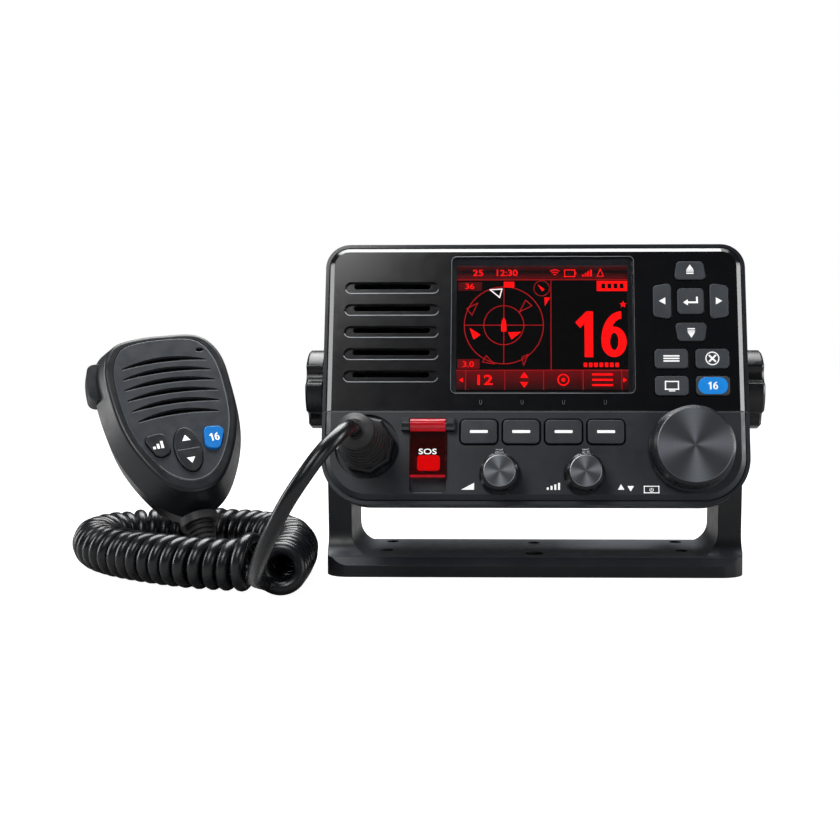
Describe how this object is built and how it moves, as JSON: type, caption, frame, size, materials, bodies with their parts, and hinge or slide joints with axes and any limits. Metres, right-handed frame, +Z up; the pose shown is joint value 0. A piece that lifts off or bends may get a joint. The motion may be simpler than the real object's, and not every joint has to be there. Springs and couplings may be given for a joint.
{
  "type": "marine radio transceiver",
  "caption": "Bracket-mounted VHF marine radio with colour display, keypad, knobs, distress switch and a hand microphone on a coiled cord",
  "frame": {"origin": "underside of the mounting bracket, directly under the tilt axis and midway between the bracket legs", "axes": "+X to the right as seen from the front, +Y to the rear, +Z up; the display faces -Y and leans back"},
  "size_m": [0.3015, 0.1742, 0.1391],
  "materials": {
    "bracket_plastic": "black moulded plastic, fine grain",
    "knob_plastic": "black moulded plastic, satin",
    "steel": "plain steel",
    "rubber": "black rubber",
    "body_plastic": "black moulded plastic, fine grain",
    "gloss_plate": "gloss black",
    "window": "clear display window",
    "display": "colour display, lit",
    "die_cast": "black powder-coated die-casting",
    "board": "green circuit board",
    "cone": "speaker cone and frame",
    "nickel": "nickel-plated brass",
    "key_rubber": "black key rubber",
    "blue_key": "blue key rubber",
    "soft_key": "dark grey keys",
    "dial": "black knob with turned metal-look face",
    "red_clear": "see-through red",
    "red": "red",
    "mic_case": "black moulded plastic, satin",
    "mic_panel": "dark grey moulded plastic",
    "mic_key": "dark grey keys",
    "mic_blue": "blue key",
    "cord": "black cord jacket"
  },
  "bodies": {
    "bracket": {"bracket": "bracket_plastic", "mic_front_case": "mic_case", "mic_rear_case": "mic_case", "mic_front_panel": "mic_panel", "mic_speaker": "cone", "mic_board": "board", "mic_hanger": "steel", "mic_screws": "steel", "mic_boot": "rubber", "cord_lead": "cord", "cord_coil": "cord", "cord_tail": "cord"},
    "transceiver": {"front_bezel": "body_plastic", "face_plate": "gloss_plate", "display_window": "window", "display_module": "display", "front_seal": "rubber", "speaker": "cone", "key_mat": "key_rubber", "logic_board": "board", "chassis": "die_cast", "main_board": "board", "antenna_socket": "nickel", "lead_glands": "rubber", "case_screws": "steel", "mic_socket": "nickel", "plug_nut": "knob_plastic", "plug_boot": "rubber", "distress_pin": "steel", "knob_pots": "steel", "dial_encoder": "steel", "friction_pads": "rubber"},
    "clamp_left": {"clamp_knob_left": "knob_plastic", "clamp_stud_left": "steel"},
    "clamp_right": {"clamp_knob_right": "knob_plastic", "clamp_stud_right": "steel"},
    "dial_shaft": {"dial_shaft": "steel"},
    "channel_dial": {"channel_dial": "dial"},
    "volume_knob": {"volume_knob": "knob_plastic"},
    "squelch_knob": {"squelch_knob": "knob_plastic"},
    "distress_cover": {"distress_cover": "red_clear"},
    "distress_button": {"distress_button": "red"},
    "ptt_button": {"ptt_button": "mic_key"},
    "mic_key_power": {"mic_key_power": "mic_key"},
    "mic_key_sixteen": {"mic_key_sixteen": "mic_blue"},
    "mic_rocker": {"mic_rocker": "mic_key"},
    "key_up": {"key_up": "key_rubber"},
    "key_down": {"key_down": "key_rubber"},
    "key_left": {"key_left": "key_rubber"},
    "key_right": {"key_right": "key_rubber"},
    "key_enter": {"key_enter": "key_rubber"},
    "key_menu": {"key_menu": "key_rubber"},
    "key_clear": {"key_clear": "key_rubber"},
    "key_display": {"key_display": "key_rubber"},
    "key_sixteen": {"key_sixteen": "blue_key"},
    "soft_key_1": {"soft_key_1": "soft_key"},
    "soft_key_2": {"soft_key_2": "soft_key"},
    "soft_key_3": {"soft_key_3": "soft_key"},
    "soft_key_4": {"soft_key_4": "soft_key"}
  },
  "joints": [
    {"name": "tilt", "type": "hinge", "parent": "bracket", "child": "transceiver", "pos_m": [0, 0, 0.078], "axis": [1, 0, 0], "range_deg": [-20, 20], "deforming": ["cord_lead"]},
    {"name": "clamp_left_turn", "type": "hinge", "parent": "transceiver", "child": "clamp_left", "pos_m": [-0.0945, 0, 0.078], "axis": [-1, 0, 0], "range_deg": [0, 360]},
    {"name": "clamp_right_turn", "type": "hinge", "parent": "transceiver", "child": "clamp_right", "pos_m": [0.0945, 0, 0.078], "axis": [1, 0, 0], "range_deg": [0, 360]},
    {"name": "dial_push", "type": "slide", "parent": "transceiver", "child": "dial_shaft", "axis": [0, 0.9703, -0.2419], "range_m": [0, 0.0008], "stiffness_N_per_m": 4000, "springref_m": -0.0005},
    {"name": "dial_turn", "type": "hinge", "parent": "dial_shaft", "child": "channel_dial", "pos_m": [0.0623, -0.05553, 0.05783], "axis": [0, -0.9703, 0.2419], "continuous": true},
    {"name": "volume_turn", "type": "hinge", "parent": "transceiver", "child": "volume_knob", "pos_m": [-0.0141, -0.058, 0.04794], "axis": [0, -0.9703, 0.2419], "range_deg": [-150, 150]},
    {"name": "squelch_turn", "type": "hinge", "parent": "transceiver", "child": "squelch_knob", "pos_m": [0.0196, -0.058, 0.04794], "axis": [0, -0.9703, 0.2419], "range_deg": [-150, 150]},
    {"name": "distress_cover_hinge", "type": "hinge", "parent": "transceiver", "child": "distress_cover", "pos_m": [-0.043, -0.04622, 0.06582], "axis": [-1, 0, 0], "range_deg": [0, 100], "stiffness_Nm_per_rad": 0.002, "springref_deg": -28.65},
    {"name": "distress_press", "type": "slide", "parent": "transceiver", "child": "distress_button", "axis": [0, 0.9703, -0.2419], "range_m": [0, 0.0008], "stiffness_N_per_m": 2500, "springref_m": -0.0005},
    {"name": "ptt_press", "type": "slide", "parent": "bracket", "child": "ptt_button", "axis": [0.8725, 0.476, 0.1105], "range_m": [0, 0.0015], "stiffness_N_per_m": 2000, "springref_m": -0.0005},
    {"name": "mic_power_press", "type": "slide", "parent": "bracket", "child": "mic_key_power", "axis": [-0.3523, 0.7694, -0.5329], "range_m": [0, 0.0006], "stiffness_N_per_m": 3000, "springref_m": -0.0005},
    {"name": "mic_sixteen_press", "type": "slide", "parent": "bracket", "child": "mic_key_sixteen", "axis": [-0.3523, 0.7694, -0.5329], "range_m": [0, 0.0006], "stiffness_N_per_m": 3000, "springref_m": -0.0005},
    {"name": "mic_rocker_rock", "type": "hinge", "parent": "bracket", "child": "mic_rocker", "pos_m": [-0.14802, -0.0178, 0.05171], "axis": [0.8725, 0.476, 0.1105], "range_deg": [-4, 4], "stiffness_Nm_per_rad": 0.15},
    {"name": "key_up_press", "type": "slide", "parent": "transceiver", "child": "key_up", "axis": [0, 0.9703, -0.2419], "range_m": [0, 0.0006], "stiffness_N_per_m": 3000, "springref_m": -0.0005},
    {"name": "key_down_press", "type": "slide", "parent": "transceiver", "child": "key_down", "axis": [0, 0.9703, -0.2419], "range_m": [0, 0.0006], "stiffness_N_per_m": 3000, "springref_m": -0.0005},
    {"name": "key_left_press", "type": "slide", "parent": "transceiver", "child": "key_left", "axis": [0, 0.9703, -0.2419], "range_m": [0, 0.0006], "stiffness_N_per_m": 3000, "springref_m": -0.0005},
    {"name": "key_right_press", "type": "slide", "parent": "transceiver", "child": "key_right", "axis": [0, 0.9703, -0.2419], "range_m": [0, 0.0006], "stiffness_N_per_m": 3000, "springref_m": -0.0005},
    {"name": "key_enter_press", "type": "slide", "parent": "transceiver", "child": "key_enter", "axis": [0, 0.9703, -0.2419], "range_m": [0, 0.0006], "stiffness_N_per_m": 3000, "springref_m": -0.0005},
    {"name": "key_menu_press", "type": "slide", "parent": "transceiver", "child": "key_menu", "axis": [0, 0.9703, -0.2419], "range_m": [0, 0.0006], "stiffness_N_per_m": 3000, "springref_m": -0.0005},
    {"name": "key_clear_press", "type": "slide", "parent": "transceiver", "child": "key_clear", "axis": [0, 0.9703, -0.2419], "range_m": [0, 0.0006], "stiffness_N_per_m": 3000, "springref_m": -0.0005},
    {"name": "key_display_press", "type": "slide", "parent": "transceiver", "child": "key_display", "axis": [0, 0.9703, -0.2419], "range_m": [0, 0.0006], "stiffness_N_per_m": 3000, "springref_m": -0.0005},
    {"name": "key_sixteen_press", "type": "slide", "parent": "transceiver", "child": "key_sixteen", "axis": [0, 0.9703, -0.2419], "range_m": [0, 0.0006], "stiffness_N_per_m": 3000, "springref_m": -0.0005},
    {"name": "soft_key_1_press", "type": "slide", "parent": "transceiver", "child": "soft_key_1", "axis": [0, 0.9703, -0.2419], "range_m": [0, 0.0006], "stiffness_N_per_m": 3000, "springref_m": -0.0005},
    {"name": "soft_key_2_press", "type": "slide", "parent": "transceiver", "child": "soft_key_2", "axis": [0, 0.9703, -0.2419], "range_m": [0, 0.0006], "stiffness_N_per_m": 3000, "springref_m": -0.0005},
    {"name": "soft_key_3_press", "type": "slide", "parent": "transceiver", "child": "soft_key_3", "axis": [0, 0.9703, -0.2419], "range_m": [0, 0.0006], "stiffness_N_per_m": 3000, "springref_m": -0.0005},
    {"name": "soft_key_4_press", "type": "slide", "parent": "transceiver", "child": "soft_key_4", "axis": [0, 0.9703, -0.2419], "range_m": [0, 0.0006], "stiffness_N_per_m": 3000, "springref_m": -0.0005}
  ]
}
